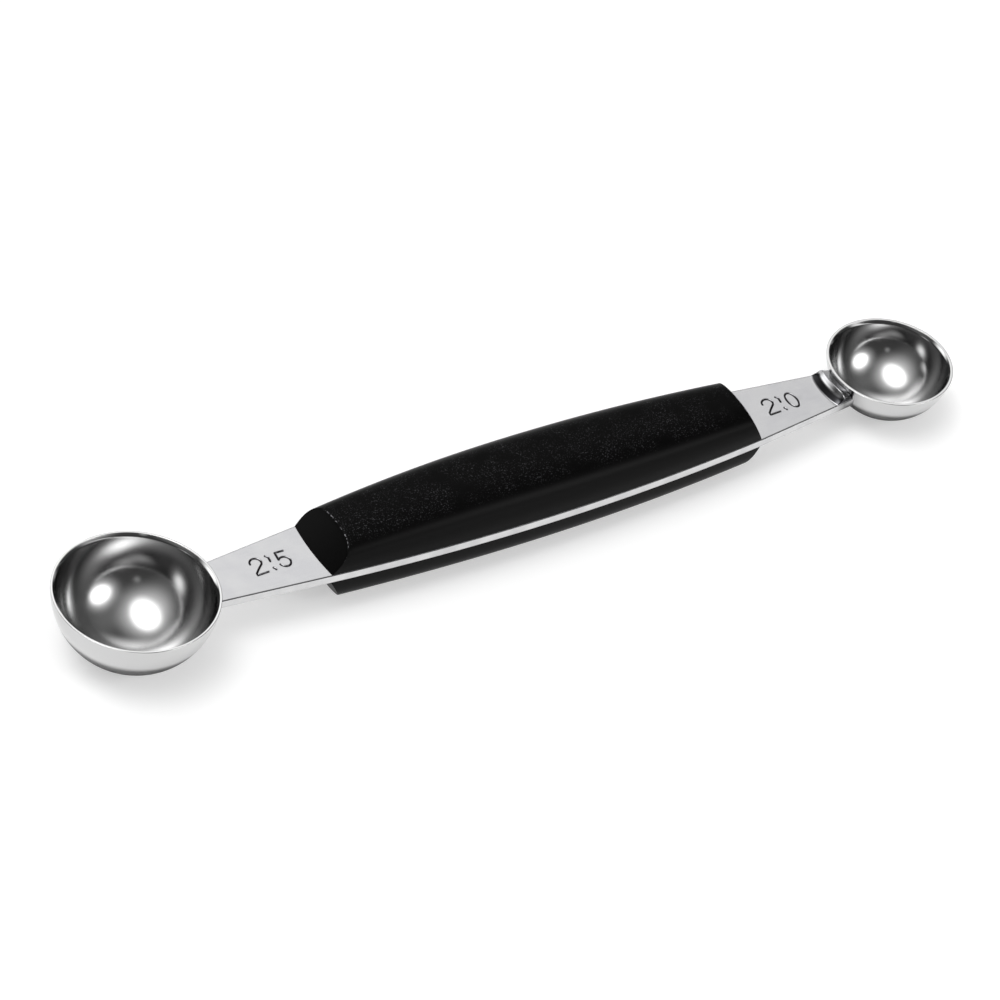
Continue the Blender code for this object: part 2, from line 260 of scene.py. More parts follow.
@dataclass(frozen=True)
class SpunPolishedSteel:
    """Stainless steel sheet, drawn into a bowl, spun against a buff and polished to a mirror.

    The eye sees crisp, high-contrast reflections of the room, with faint rings round the bowl's
    axis left by the buff, and edges of the reflections that waver slightly. The inside is painted
    a shade darker than the outside, and darker still up its wall toward the rim: painted shade that
    dims the reflections inside the bowl.

    The real buffing lines are about 0.02 mm apart, and are drawn coarser to show at all.
    """

    axis_x: float
    centre_z: float
    sphere_radius: float
    wall: float
    outer_colour: str = "#C8C8C8"
    inner_shade_colour: str = "#BCBCBC"
    rim_shade_colour: str = "#989898"
    rim_shade_from: float = 40.0
    rim_shade_full: float = 75.0
    roughness: float = 0.085
    bottom_roughness: float = 0.18
    roughness_spread: float = 0.02
    ring_spacing: float = 0.35
    ring_depth: float = 0.0006
    waver_size: float = 1.6
    waver_depth: float = 0.0035

    def material(self) -> bpy.types.Material:
        """Build the bowl's material."""
        made = new_material("polished_steel")
        tree = made.node_tree
        place = add_node(tree, "ShaderNodeTexCoord")
        centre = (self.axis_x * MM, 0.0, self.centre_z * MM)
        from_centre = add_node(
            tree, "ShaderNodeVectorMath", {0: place.outputs["Object"], 1: centre}, operation="SUBTRACT"
        )
        outward = add_node(
            tree, "ShaderNodeVectorMath", {0: from_centre.outputs[0]}, operation="NORMALIZE"
        )
        height = add_node(tree, "ShaderNodeSeparateXYZ", {0: outward.outputs[0]})
        angle = add_node(tree, "ShaderNodeMath", {0: height.outputs["Z"]}, operation="ARCCOSINE")
        # Share of the way up the inside wall: it sets the painted shade toward the rim, and the
        # roughness.
        wall_shade_and_roughness = add_node(
            tree, "ShaderNodeMapRange",
            {
                "Value": angle.outputs[0], "From Min": math.radians(180.0 - self.rim_shade_from),
                "From Max": math.radians(180.0 - self.rim_shade_full),
            },
        )
        distance = add_node(
            tree, "ShaderNodeVectorMath", {0: from_centre.outputs[0]}, operation="LENGTH"
        )
        outside = add_node(
            tree, "ShaderNodeMapRange",
            {
                "Value": distance.outputs["Value"], "From Min": (self.sphere_radius - self.wall) * MM,
                "From Max": (self.sphere_radius - self.wall / 2) * MM,
            },
        )
        # The inside is painted a shade darker than the outside, and darker still toward its rim: painted
        # shade.
        tone = linear(self.inner_shade_colour)
        for amount, colour in ((wall_shade_and_roughness, self.rim_shade_colour), (outside, self.outer_colour)):
            tone = add_node(
                tree, "ShaderNodeMix", {"Factor": amount.outputs[0], "A": tone, "B": linear(colour)},
                data_type="RGBA",
            ).outputs["Result"]
        rings = add_node(
            tree, "ShaderNodeTexNoise",
            {"W": angle.outputs[0], "Scale": self.sphere_radius / self.ring_spacing, "Detail": 3.0},
            noise_dimensions="1D",
        )
        waver, cloud = (
            add_node(
                tree, "ShaderNodeTexNoise",
                {"Vector": from_centre.outputs[0], "Scale": 1.0 / (spot * MM), "Detail": detail},
            )
            for spot, detail in ((self.waver_size, 2.0), (CLOUD_SIZE, 4.0))
        )
        shallow = add_node(
            tree, "ShaderNodeBump",
            {"Height": waver.outputs[0], "Strength": 1.0, "Distance": self.waver_depth * MM},
        )
        surface = add_node(
            tree, "ShaderNodeBump",
            {
                "Height": rings.outputs[0], "Strength": 1.0,
                "Distance": self.ring_depth * MM, "Normal": shallow.outputs[0],
            },
        )
        buffed = add_node(
            tree, "ShaderNodeMapRange",
            {"Value": wall_shade_and_roughness.outputs[0], "To Min": self.bottom_roughness, "To Max": self.roughness},
        )
        patches = add_node(
            tree, "ShaderNodeMapRange",
            {
                "Value": cloud.outputs[0], "From Min": NOISE_LOW, "From Max": NOISE_HIGH,
                "To Min": -self.roughness_spread, "To Max": self.roughness_spread,
            },
        )
        roughness = add_node(
            tree, "ShaderNodeMath", {0: buffed.outputs[0], 1: patches.outputs[0]}, operation="ADD"
        )
        shader = add_node(
            tree, "ShaderNodeBsdfPrincipled",
            {
                "Base Color": tone, "Metallic": 1.0,
                "Roughness": roughness.outputs[0], "Normal": surface.outputs[0],
            },
        )
        add_node(tree, "ShaderNodeOutputMaterial", {"Surface": shader.outputs[0]})
        return made


@dataclass(frozen=True)
class SatinSteel:
    """Stainless steel strip, rolled and belt-ground along its length to a satin.

    The eye sees an even soft grey, with hairline grain along the strip and slow clouds where the
    belt pressed harder. The stamped grooves and the broken edge just below the face are painted
    dark, as painted shade, and so is the bend below a lip. Each of these painted shades has two
    pairs of heights over the face, from where it is nil to where it is full.

    Real belt grain is about 0.03 mm wide, and is drawn wider to show at all.
    """

    face_z: float
    name: str = "satin_steel"
    colour: str = "#B2B2B3"
    cloud_colour: str = "#ADADAF"
    pressed: Flat = (0.35, 0.65)
    groove_shade_colour: str = "#2C2C2E"
    groove_shade_starts: Flat = (-0.0042, -0.049)
    groove_shade_ends: Flat = (-0.168, -0.147)
    bend_shade_colour: str = "#3C3C3E"
    bend_shade_starts: Flat = (0.0285, 0.1425)
    bend_shade_ends: Flat = (1.045, 0.76)
    roughness: float = 0.16
    roughness_spread: float = 0.03
    grain_width: float = 0.10
    grain_length: float = 5.0
    grain_depth: float = 0.0005

    def material(self) -> bpy.types.Material:
        """Build the strip's material."""
        made = new_material(self.name)
        tree = made.node_tree
        place = add_node(tree, "ShaderNodeTexCoord")
        along = add_node(
            tree, "ShaderNodeMapping",
            {
                "Vector": place.outputs["Object"],
                "Scale": (
                    1.0 / (self.grain_length * MM), 1.0 / (self.grain_width * MM),
                    1.0 / (self.grain_width * MM),
                ),
            },
        )
        grain = add_node(
            tree, "ShaderNodeTexNoise", {"Vector": along.outputs[0], "Scale": 1.0, "Detail": 3.0}
        )
        cloud = add_node(
            tree, "ShaderNodeTexNoise",
            {"Vector": place.outputs["Object"], "Scale": 1.0 / (CLOUD_SIZE * MM), "Detail": 3.0},
        )
        pressed_low, pressed_high = self.pressed
        patches = add_node(
            tree, "ShaderNodeMapRange",
            {"Value": cloud.outputs[0], "From Min": pressed_low, "From Max": pressed_high},
        )
        height = add_node(tree, "ShaderNodeSeparateXYZ", {0: place.outputs["Object"]})
        # Heights that place painted shade: in the grooves and along the edge just below the face, and in
        # the bend below a lip.
        sunk, above_edge, over_face, under_weld = (
            add_node(
                tree, "ShaderNodeMapRange",
                {
                    "Value": height.outputs["Z"], "From Min": (self.face_z + none) * MM,
                    "From Max": (self.face_z + full) * MM,
                },
            )
            for none, full in (self.groove_shade_starts, self.groove_shade_ends, self.bend_shade_starts, self.bend_shade_ends)
        )
        # The first mask is painted shade in the grooves and along the edge just below the face; the
        # second is painted shade in the bend below a lip.
        groove, bent = (
            add_node(
                tree, "ShaderNodeMath", {0: start.outputs[0], 1: end.outputs[0]}, operation="MULTIPLY"
            )
            for start, end in ((sunk, above_edge), (over_face, under_weld))
        )
        tone = linear(self.colour)
        # The groove and bend colours darken those places as painted shade.
        for amount, colour in (
            (patches, self.cloud_colour), (groove, self.groove_shade_colour), (bent, self.bend_shade_colour),
        ):
            tone = add_node(
                tree, "ShaderNodeMix", {"Factor": amount.outputs[0], "A": tone, "B": linear(colour)},
                data_type="RGBA",
            ).outputs["Result"]
        roughness = add_node(
            tree, "ShaderNodeMapRange",
            {
                "Value": grain.outputs[0], "From Min": NOISE_LOW, "From Max": NOISE_HIGH,
                "To Min": self.roughness - self.roughness_spread,
                "To Max": self.roughness + self.roughness_spread,
            },
        )
        surface = add_node(
            tree, "ShaderNodeBump",
            {"Height": grain.outputs[0], "Strength": 1.0, "Distance": self.grain_depth * MM},
        )
        shader = add_node(
            tree, "ShaderNodeBsdfPrincipled",
            {
                "Base Color": tone, "Metallic": 1.0,
                "Roughness": roughness.outputs[0], "Normal": surface.outputs[0],
            },
        )
        add_node(tree, "ShaderNodeOutputMaterial", {"Surface": shader.outputs[0]})
        return made


@dataclass(frozen=True)
class SparkErodedPlastic:
    """Black filled polypropylene, moulded in a spark-eroded tool.

    The eye sees a near-black satin. The crown carries the tool's fine pitted grain, whose lips
    catch the light; those glints are painted into the colour as dense grey specks. The sides are
    painted a touch paler, as painted light, the end faces are smooth and blackest, and the edge
    between crown and end face carries a painted grey highlight in places.

    The real grain is about 0.1 mm across, and is drawn at twice that to show. The crown, the sides
    and the highlighted edge are told apart by how much the surface faces across or along the handle.
    Each has pairs of such shares, or of noise values, from where it is nil to where it is full.
    """

    colour: str = "#030303"
    side_light_colour: str = "#121212"
    glint_colour: str = "#3E3E40"
    edge_highlight_colour: str = "#77777A"
    specular_level: float = 0.05
    roughness: float = 0.36
    grain_roughness: float = 0.46
    grain_size: float = 0.22
    grain_depth: float = 0.012
    highlight_patch_size: float = 0.6
    crown_across: Flat = (0.62, 0.25)
    crown_along: Flat = (0.34, 0.16)
    side_light_across: Flat = (0.5, 0.95)
    glint_grain: Flat = (0.56, 0.74)
    glint_cloud: Flat = (0.3, 0.6)
    highlight_past_crown: Flat = (0.22, 0.36)
    highlight_before_face: Flat = (0.66, 0.5)
    highlight_patches: Flat = (0.5, 0.68)

    def material(self) -> bpy.types.Material:
        """Build the scales' material."""
        made = new_material("black_plastic")
        tree = made.node_tree
        place = add_node(tree, "ShaderNodeTexCoord")
        normal = add_node(
            tree, "ShaderNodeVectorMath", {0: place.outputs["Normal"]}, operation="ABSOLUTE"
        )
        facing = add_node(tree, "ShaderNodeSeparateXYZ", {0: normal.outputs[0]})
        along, across = facing.outputs["X"], facing.outputs["Y"]
        grain, cloud, patch_noise = (
            add_node(
                tree, "ShaderNodeTexNoise",
                {"Vector": place.outputs["Object"], "Scale": 1.0 / (spot * MM), "Detail": detail},
            ).outputs[0]
            for spot, detail in ((self.grain_size, 2.0), (CLOUD_SIZE, 2.0), (self.highlight_patch_size, 3.0))
        )
        # These masks place painted light: the paler sides, the grey glint specks on the crown, and a
        # grey highlight in patches along the crown's end edges.
        off_side, off_end, side, pitted, clouded, past_crown, before_face, in_patches = (
            add_node(
                tree, "ShaderNodeMapRange", {"Value": value, "From Min": none, "From Max": full},
                interpolation_type="SMOOTHSTEP",
            ).outputs[0]
            for value, (none, full) in (
                (across, self.crown_across), (along, self.crown_along), (across, self.side_light_across),
                (grain, self.glint_grain), (cloud, self.glint_cloud),
                (along, self.highlight_past_crown), (along, self.highlight_before_face), (patch_noise, self.highlight_patches),
            )
        )
        # The speck mask places painted glints on the crown.
        crown, edge, glint_spots = (
            add_node(tree, "ShaderNodeMath", {0: first, 1: second}, operation="MULTIPLY").outputs[0]
            for first, second in ((off_side, off_end), (past_crown, before_face), (pitted, clouded))
        )
        # The edge mask, broken into patches, places a painted grey highlight along the crown's end
        # edges.
        pits, painted_glints, edge_highlight = (
            add_node(tree, "ShaderNodeMath", {0: first, 1: second}, operation="MULTIPLY").outputs[0]
            for first, second in ((grain, crown), (glint_spots, crown), (edge, in_patches))
        )
        surface = add_node(
            tree, "ShaderNodeBump",
            {"Height": pits, "Strength": 1.0, "Distance": self.grain_depth * MM},
        )
        # The side colour is painted light, a paler side; the speck and edge colours are painted
        # highlights.
        tone = linear(self.colour)
        for amount, colour in (
            (side, self.side_light_colour), (painted_glints, self.glint_colour), (edge_highlight, self.edge_highlight_colour),
        ):
            tone = add_node(
                tree, "ShaderNodeMix", {"Factor": amount, "A": tone, "B": linear(colour)},
                data_type="RGBA",
            ).outputs["Result"]
        roughness = add_node(
            tree, "ShaderNodeMapRange",
            {"Value": crown, "To Min": self.roughness, "To Max": self.grain_roughness},
        )
        shader = add_node(
            tree, "ShaderNodeBsdfPrincipled",
            {
                "Base Color": tone, "Roughness": roughness.outputs[0],
                "Specular IOR Level": self.specular_level, "Normal": surface.outputs[0],
            },
        )
        add_node(tree, "ShaderNodeOutputMaterial", {"Surface": shader.outputs[0]})
        return made


@dataclass(frozen=True)
class SweepPaper:
    """Matt white background paper.

    The camera and the steel see it lifted by a little light of its own, so that bare paper is
    white and the object's soft shadow stays on it as a pale grey. The steel sees it dark where a
    bowl stands over it, so that the bowls' outsides show white paper above a dark band.
    """

    bowl_places: tuple[Flat, ...]
    colour: str = "#CDCDCD"
    bounce_colour: str = "#BCBCBC"
    shade_colour: str = "#A6A6A6"
    shade_full: float = 0.76
    shade_end: float = 0.98
    lift: float = 0.45

    def material(self) -> bpy.types.Material:
        """Build the floor's material."""
        made = new_material("sweep_paper")
        tree = made.node_tree
        path = add_node(tree, "ShaderNodeLightPath")
        place = add_node(tree, "ShaderNodeTexCoord")
        on_floor = add_node(
            tree, "ShaderNodeVectorMath", {0: place.outputs["Object"], 1: (1.0, 1.0, 0.0)},
            operation="MULTIPLY",
        )
        # The camera sees no shade but the real one.
        clear = path.outputs["Is Camera Ray"]
        covers = []
        for axis_x, radius in self.bowl_places:
            away = add_node(
                tree, "ShaderNodeVectorMath", {0: on_floor.outputs[0], 1: (axis_x * MM, 0.0, 0.0)},
                operation="DISTANCE",
            )
            covers.append(add_node(
                tree, "ShaderNodeMapRange",
                {
                    "Value": away.outputs["Value"], "From Min": self.shade_full * radius * MM,
                    "From Max": self.shade_end * radius * MM,
                },
                interpolation_type="SMOOTHSTEP",
            ).outputs[0])
        uncovered = add_node(tree, "ShaderNodeMath", {0: covers[0], 1: covers[1]}, operation="MULTIPLY")
        seen_open = add_node(
            tree, "ShaderNodeMath", {0: clear, 1: uncovered.outputs[0]}, operation="MAXIMUM"
        )
        seen = add_node(
            tree, "ShaderNodeMath", {0: clear, 1: path.outputs["Is Glossy Ray"]}, operation="MAXIMUM"
        )
        # Paper that only lights other paper by way of the steel counts as bounced light.
        by_eye = add_node(
            tree, "ShaderNodeMath", {0: seen.outputs[0], 1: path.outputs["Diffuse Depth"]},
            operation="SUBTRACT", use_clamp=True,
        )
        paper, shade, bounce = (
            add_node(tree, "ShaderNodeBsdfDiffuse", {"Color": linear(tone)}).outputs[0]
            for tone in (self.colour, self.shade_colour, self.bounce_colour)
        )
        shaded = add_node(tree, "ShaderNodeMixShader", {0: seen_open.outputs[0], 1: shade, 2: paper})
        strength = add_node(
            tree, "ShaderNodeMath", {0: seen_open.outputs[0], 1: self.lift}, operation="MULTIPLY"
        )
        light = add_node(tree, "ShaderNodeEmission", {"Strength": strength.outputs[0]})
        lifted = add_node(tree, "ShaderNodeAddShader", {0: shaded.outputs[0], 1: light.outputs[0]})
        shader = add_node(
            tree, "ShaderNodeMixShader", {0: by_eye.outputs[0], 1: bounce, 2: lifted.outputs[0]}
        )
        add_node(tree, "ShaderNodeOutputMaterial", {"Surface": shader.outputs[0]})
        return made


# ---------------------------------------------------------------- bowls


@dataclass
class Bowl:
    """A bowl pressed from sheet, a cap of a sphere with its mouth up.

    Its rim is ground to a cutting edge: a bevel falls from the outer edge to the inner face.
    """

    node: str
    x: float
    toward_handle: float
    rim_z: float
    outer_radius: float
    depth: float
    wall: float = 0.7
    land: float = 0.36
    bevel_fall: float = 0.52
    outer_round: float = 0.12
    land_round: float = 0.05
    inner_round: float = 0.14
    rings: int = 56
    segments: int = 160
    rim_steps: int = 7

    @property
    def sphere_radius(self) -> float:
        """Radius of the sphere that the outer face lies on."""
        return (self.outer_radius ** 2 + self.depth ** 2) / (2 * self.depth)

    @property
    def centre_z(self) -> float:
        """Height of that sphere's middle."""
        return self.rim_z - self.depth + self.sphere_radius

    def wall_radius(self, z: float, clearance: float = 0.0) -> float:
        """Distance from the bowl's axis to its outer face at a height.

        Args:
            z: The height.
            clearance: How far outside the face.

        Returns:
            The distance.
        """
        return math.sqrt((self.sphere_radius + clearance) ** 2 - (self.centre_z - z) ** 2)

    def profile(self) -> list[Flat]:
        """Radius and height along the wall's section, from outside the bottom over the rim to inside."""
        level = self.rim_z - self.centre_z
        outer, inner = self.sphere_radius, self.sphere_radius - self.wall
        bevel_end = level - self.bevel_fall
        outer_end = math.acos(-(level - self.outer_round) / outer)
        inner_end = math.acos(-(bevel_end - self.inner_round) / inner)
        outside, inside = (
            [(face * math.sin(turn), -face * math.cos(turn)) for turn in spread(0.0, end, self.rings)]
            for face, end in ((outer, outer_end), (inner, inner_end))
        )
        edge = math.sqrt(outer ** 2 - level ** 2)
        corners = (
            (edge, level, self.outer_round), (edge - self.land, level, self.land_round),
            (math.sqrt(inner ** 2 - bevel_end ** 2), bevel_end, self.inner_round),
        )
        rim = soften_corners(outside[-1], corners, inside[-1], self.rim_steps)
        points = outside[:-1] + rim + inside[-2::-1]
        return [(radius, self.centre_z + height) for radius, height in points]

    def build(self) -> bpy.types.Object:
        """Spin the wall's section about the bowl's axis and dress it."""
        builder = bmesh.new()
        turns = [math.tau * segment / self.segments for segment in range(self.segments)]
        skin(builder, [
            [(self.x + radius * math.cos(turn), radius * math.sin(turn), z) for turn in turns]
            for radius, z in self.profile()
        ], closed=True)
        finish = SpunPolishedSteel(self.x, self.centre_z, self.sphere_radius, self.wall)
        made = finish_mesh(f"{self.node}_polished", builder, [finish.material()])
        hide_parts(self.node)
        return made


# ---------------------------------------------------------------- handle


@dataclass(frozen=True)
class HandlePlan:
    """The barrel-shaped plan that the tang and both scales share."""

    start_x: float = -38.5
    end_x: float = 43.6
    end_width: float = 11.87
    middle_width: float = 15.8
    end_bow: float = 0.4

    @property
    def middle_x(self) -> float:
        """The handle's middle."""
        return (self.start_x + self.end_x) / 2

    def half_width(self, x: float) -> float:
        """Half the handle's width at x."""
        share = (x - self.middle_x) / ((self.end_x - self.start_x) / 2)
        return (self.end_width + (self.middle_width - self.end_width) * (1.0 - share * share)) / 2


@dataclass(frozen=True)
class ScaleEnd:
    """One end of a scale: how high the crown is there, and how steeply its face slopes back."""

    crown_top: float
    face_degrees: float

    @property
    def slope(self) -> float:
        """The face's angle to the strip, in radians."""
        return math.radians(self.face_degrees)


@dataclass
class Scale:
    """One moulded handle scale, with an upright foot, a domed crown and bowed, sloping end faces."""

    node: str
    side: Side
    plan: HandlePlan
    base_z: float
    peak_height: float
    large_end: ScaleEnd
    small_end: ScaleEnd
    seam: float = 0.03
    foot_height: float = 0.7
    peak_setback: float = 6.0
    squareness: float = 2.65
    edge_radius: float = 0.5
    end_steps: int = 10
    edge_steps: int = 5
    crown_steps: int = 110
    section_steps: int = 72
    edge_passes: int = 12

    def crown(self, x: float) -> float:
        """Height of the crown above the foot at x."""
        peak_x = self.plan.middle_x - self.peak_setback
        end, end_x = (
            (self.large_end, self.plan.start_x) if x < peak_x else (self.small_end, self.plan.end_x)
        )
        fullness = 1.0 - ((x - peak_x) / (end_x - peak_x)) ** 2
        return end.crown_top - self.foot_height + (self.peak_height - end.crown_top) * fullness

    def section(self) -> list[Flat]:
        """Shares of the half width and of the crown's height, across the scale's D shape."""
        power = 2 / self.squareness
        shares = [(1.0, 0.0)]
        for step in range(1, self.section_steps):
            turn = math.pi * step / self.section_steps
            across = math.copysign(abs(math.cos(turn)) ** power, math.cos(turn))
            shares.append((across, math.sin(turn) ** power))
        return shares + [(-1.0, 0.0)]

    def crown_point(self, x: float, across: float, rise: float) -> Point:
        """A place on the crown as x, y and height above the strip, at shares of its section."""
        return x, self.plan.half_width(x) * across, self.foot_height + self.crown(x) * rise

    def face_x(self, end: ScaleEnd, y: float, height: float) -> float:
        """Where an end face is, at a place across the strip and a height above it."""
        setback = self.plan.end_bow * (2 * y / self.plan.end_width) ** 2 + height / math.tan(end.slope)
        if end is self.large_end:
            return self.plan.start_x + setback
        return self.plan.end_x - setback

    def end_line(self, end: ScaleEnd, across: float, rise: float) -> list[Point]:
        """Points up an end face and round its edge onto the crown, at one place of the section.

        Args:
            end: The end.
            across: Share of the half width.
            rise: Share of the crown's height.

        Returns:
            Points as x, y and height above the strip.
        """
        inward = 1.0 if end is self.large_end else -1.0
        edge_x = self.face_x(end, 0.0, 0.0)
        for _ in range(self.edge_passes):
            edge_x = self.face_x(end, *self.crown_point(edge_x, across, rise)[1:])
        edge = self.crown_point(edge_x, across, rise)
        soften = self.edge_radius * math.tan(end.slope / 2) * rise
        top = edge[2] - soften * math.sin(end.slope)
        foot_y = self.plan.end_width / 2 * across
        points = []
        for height in spread(self.seam, top, self.end_steps):
            y = foot_y + (edge[1] - foot_y) * (height - self.seam) / (top - self.seam)
            points.append((self.face_x(end, y, height), y, height))
        on_crown = self.crown_point(edge_x + inward * soften, across, rise)
        return points + bend(points[-1], edge, on_crown, self.edge_steps)[1:]

    def line(self, across: float, rise: float) -> list[Point]:
        """Points at one place of the section, up one end face, along the crown and down the other."""
        near = self.end_line(self.large_end, across, rise)
        far = self.end_line(self.small_end, across, rise)
        between = spread(near[-1][0], far[-1][0], self.crown_steps)[1:-1]
        return near + [self.crown_point(x, across, rise) for x in between] + far[::-1]

    def build(self, material: bpy.types.Material) -> bpy.types.Object:
        """Skin the crown, its end faces and its foot, close the base and dress the scale.

        Args:
            material: The scales' plastic.

        Returns:
            The scale.
        """
        up = self.side.value
        builder = bmesh.new()
        grid = skin(builder, [
            [(x, y, self.base_z + up * height) for x, y, height in self.line(across, rise)]
            for across, rise in self.section()
        ])
        # The crown's lowest lines stand on the foot: at each corner they come down to the base.
        turned = self.end_steps
        base_edges = []
        for line in (grid[0], grid[-1]):
            base = [line[0]]
            for above in line[turned + 1:-turned - 1]:
                base.append(builder.verts.new((above.co.x, above.co.y, line[0].co.z)))
            base.append(line[-1])
            crown = line[turned:-turned]
            for index in range(1, len(crown) - 2):
                builder.faces.new((crown[index], crown[index + 1], base[index + 1], base[index]))
            builder.faces.new(line[:turned + 2] + [base[1]])
            builder.faces.new(line[:-turned - 3:-1] + [base[-2]])
            base_edges.append(base)
        left, right = base_edges
        small_foot = [line[-1] for line in grid[1:-1]]
        large_foot = [line[0] for line in grid[-2:0:-1]]
        builder.faces.new(left + small_foot + right[::-1] + large_foot)
        made = finish_mesh(f"{self.node}_moulded", builder, [material])
        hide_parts(self.node)
        return made


# ---------------------------------------------------------------- strip


def glyph_two() -> list[list[Flat]]:
    """The stamp's figure 2: a hook, a slanting stroke and a foot."""
    hook = arc((0.0, 0.85), (0.95, 0.98), 178.0, -28.0, 16)
    return [hook + [(-0.30, -0.60), (-0.92, -1.22), (-0.98, -1.66), (1.0, -1.58)]]


def glyph_five() -> list[list[Flat]]:
    """The stamp's figure 5: a bar, a stem and a bow."""
    bow = arc((0.0, -0.60), (0.98, 1.05), 138.0, -165.0, 20)
    return [[(0.90, 1.62), (-0.58, 1.66), (-0.74, 0.12)] + bow]


def glyph_nought() -> list[list[Flat]]:
    """The stamp's figure 0: a closed oval."""
    return [arc((0.0, 0.0), (0.90, 1.68), 0.0, 360.0, 32)]


def glyph_point() -> list[list[Flat]]:
    """The stamp's decimal mark: a short dash above and a point below."""
    return [[(-0.12, 1.62), (0.22, 1.25), (0.12, 0.30)], [(-0.10, -1.10), (0.05, -1.35), (0.12, -1.62)]]


@dataclass(frozen=True)
class StampedNumber:
    """A number pressed into a neck, read from the large bowl toward the small one."""

    figures: tuple[Callable[[], list[list[Flat]]], ...]
    centre: Flat
    pitch: float
    groove_width: float = 0.36
    depth: float = 0.14
    burr: float = 0.004

    @property
    def strokes(self) -> list[list[Flat]]:
        """The centre lines of every groove, in the frame's plan."""
        middle = (len(self.figures) - 1) / 2
        lines = []
        for index, figure in enumerate(self.figures):
            shift_x = self.centre[0] + (index - middle) * self.pitch
            for stroke in figure():
                lines.append([(shift_x + x, self.centre[1] + y) for x, y in stroke])
        return lines

    def box(self) -> tuple[float, float, float, float]:
        """The number's lowest x, highest x, lowest y and highest y, with the burr."""
        points = [point for stroke in self.strokes for point in stroke]
        margin = self.groove_width
        xs, ys = [x for x, _ in points], [y for _, y in points]
        return min(xs) - margin, max(xs) + margin, min(ys) - margin, max(ys) + margin

    def distance(self, x: float, y: float, lines: list[list[Flat]]) -> float:
        """Distance from a place in plan to the nearest groove's centre line."""
        nearest = math.inf
        for line in lines:
            for (ax, ay), (bx, by) in zip(line, line[1:]):
                run_x, run_y = bx - ax, by - ay
                length = run_x * run_x + run_y * run_y
                share = ((x - ax) * run_x + (y - ay) * run_y) / length if length else 0.0
                share = min(1.0, max(0.0, share))
                nearest = min(nearest, math.hypot(x - ax - share * run_x, y - ay - share * run_y))
        return nearest

    def press(self, distance: float) -> float:
        """How far the face is moved up, or down in a groove, at a distance from a groove's middle."""
        half = self.groove_width / 2
        if distance < half:
            return -self.depth * (1.0 - smooth_step(distance / half))
        return self.burr * math.sin(math.pi * min(1.0, (distance - half) / half))


@dataclass(frozen=True)
class Lip:
    """A strip end turned up against its bowl.

    Its corners run from the weld to the flat. Each is a distance from the bowl's axis, a height
    over the flat, and how far from it its rounding starts. The lip loses a share of its height,
    end_fall, at its ends.
    """

    weld_height: float
    corners: tuple[Point, ...]
    end_fall: float = 0.0
    end_sharpness: int = 6

    def height_share(self, share: float) -> float:
        """Share of the lip's height that is left at a share of the way from its middle to an end."""
        return 1.0 - self.end_fall * share ** self.end_sharpness


@dataclass
class Neck:
    """One end of the strip: a tapering neck, and the lip turned up against its bowl."""

    bowl: Bowl
    plan: HandlePlan
    number: StampedNumber
    top_z: float
    bottom_z: float
    width_at_bowl: float
    lip: Lip
    weld_gap: float = 0.02
    corner_steps: int = 8
    flat_run: float = 0.1

    @property
    def handle_x(self) -> float:
        """Where the neck meets the handle."""
        return self.plan.start_x if self.bowl.toward_handle > 0 else self.plan.end_x

    def arc_point(self, radius: float, share: float) -> Flat:
        """A place on an arc about the bowl's axis, at a share of the way from the middle to an edge.

        The neck's edges are straight, so the arc's half angle is where its circle crosses an edge.
        """
        reach = abs(self.handle_x - self.bowl.x)
        taper = (self.plan.end_width - self.width_at_bowl) / 2 / (reach - self.bowl.outer_radius)
        at_axis = self.width_at_bowl / 2 - taper * self.bowl.outer_radius
        half_angle = math.atan(taper) + math.asin(at_axis / (radius * math.hypot(1.0, taper)))
        turn = half_angle * share
        return self.bowl.x + self.bowl.toward_handle * radius * math.cos(turn), radius * math.sin(turn)

    def lip_profile(self) -> list[tuple[float, float, float, float]]:
        """Radius and height along the lip from the bowl's wall to the flat, and its face's normal.

        Returns:
            Rows of radius, height, and the outward and upward parts of the normal.
        """
        wall = self.bowl.wall_radius(self.top_z + self.lip.weld_height, self.weld_gap)
        foot_radius, _, foot_round = self.lip.corners[-1]
        rows = soften_corners(
            (wall, self.lip.weld_height), self.lip.corners,
            (foot_radius + foot_round + self.flat_run, 0.0), self.corner_steps,
        )
        full = []
        for index, (radius, height) in enumerate(rows):
            before, after = rows[max(0, index - 1)], rows[min(len(rows) - 1, index + 1)]
            step_r, step_z = after[0] - before[0], after[1] - before[1]
            length = math.hypot(step_r, step_z)
            full.append((radius, self.top_z + height, -step_z / length, step_r / length))
        return full


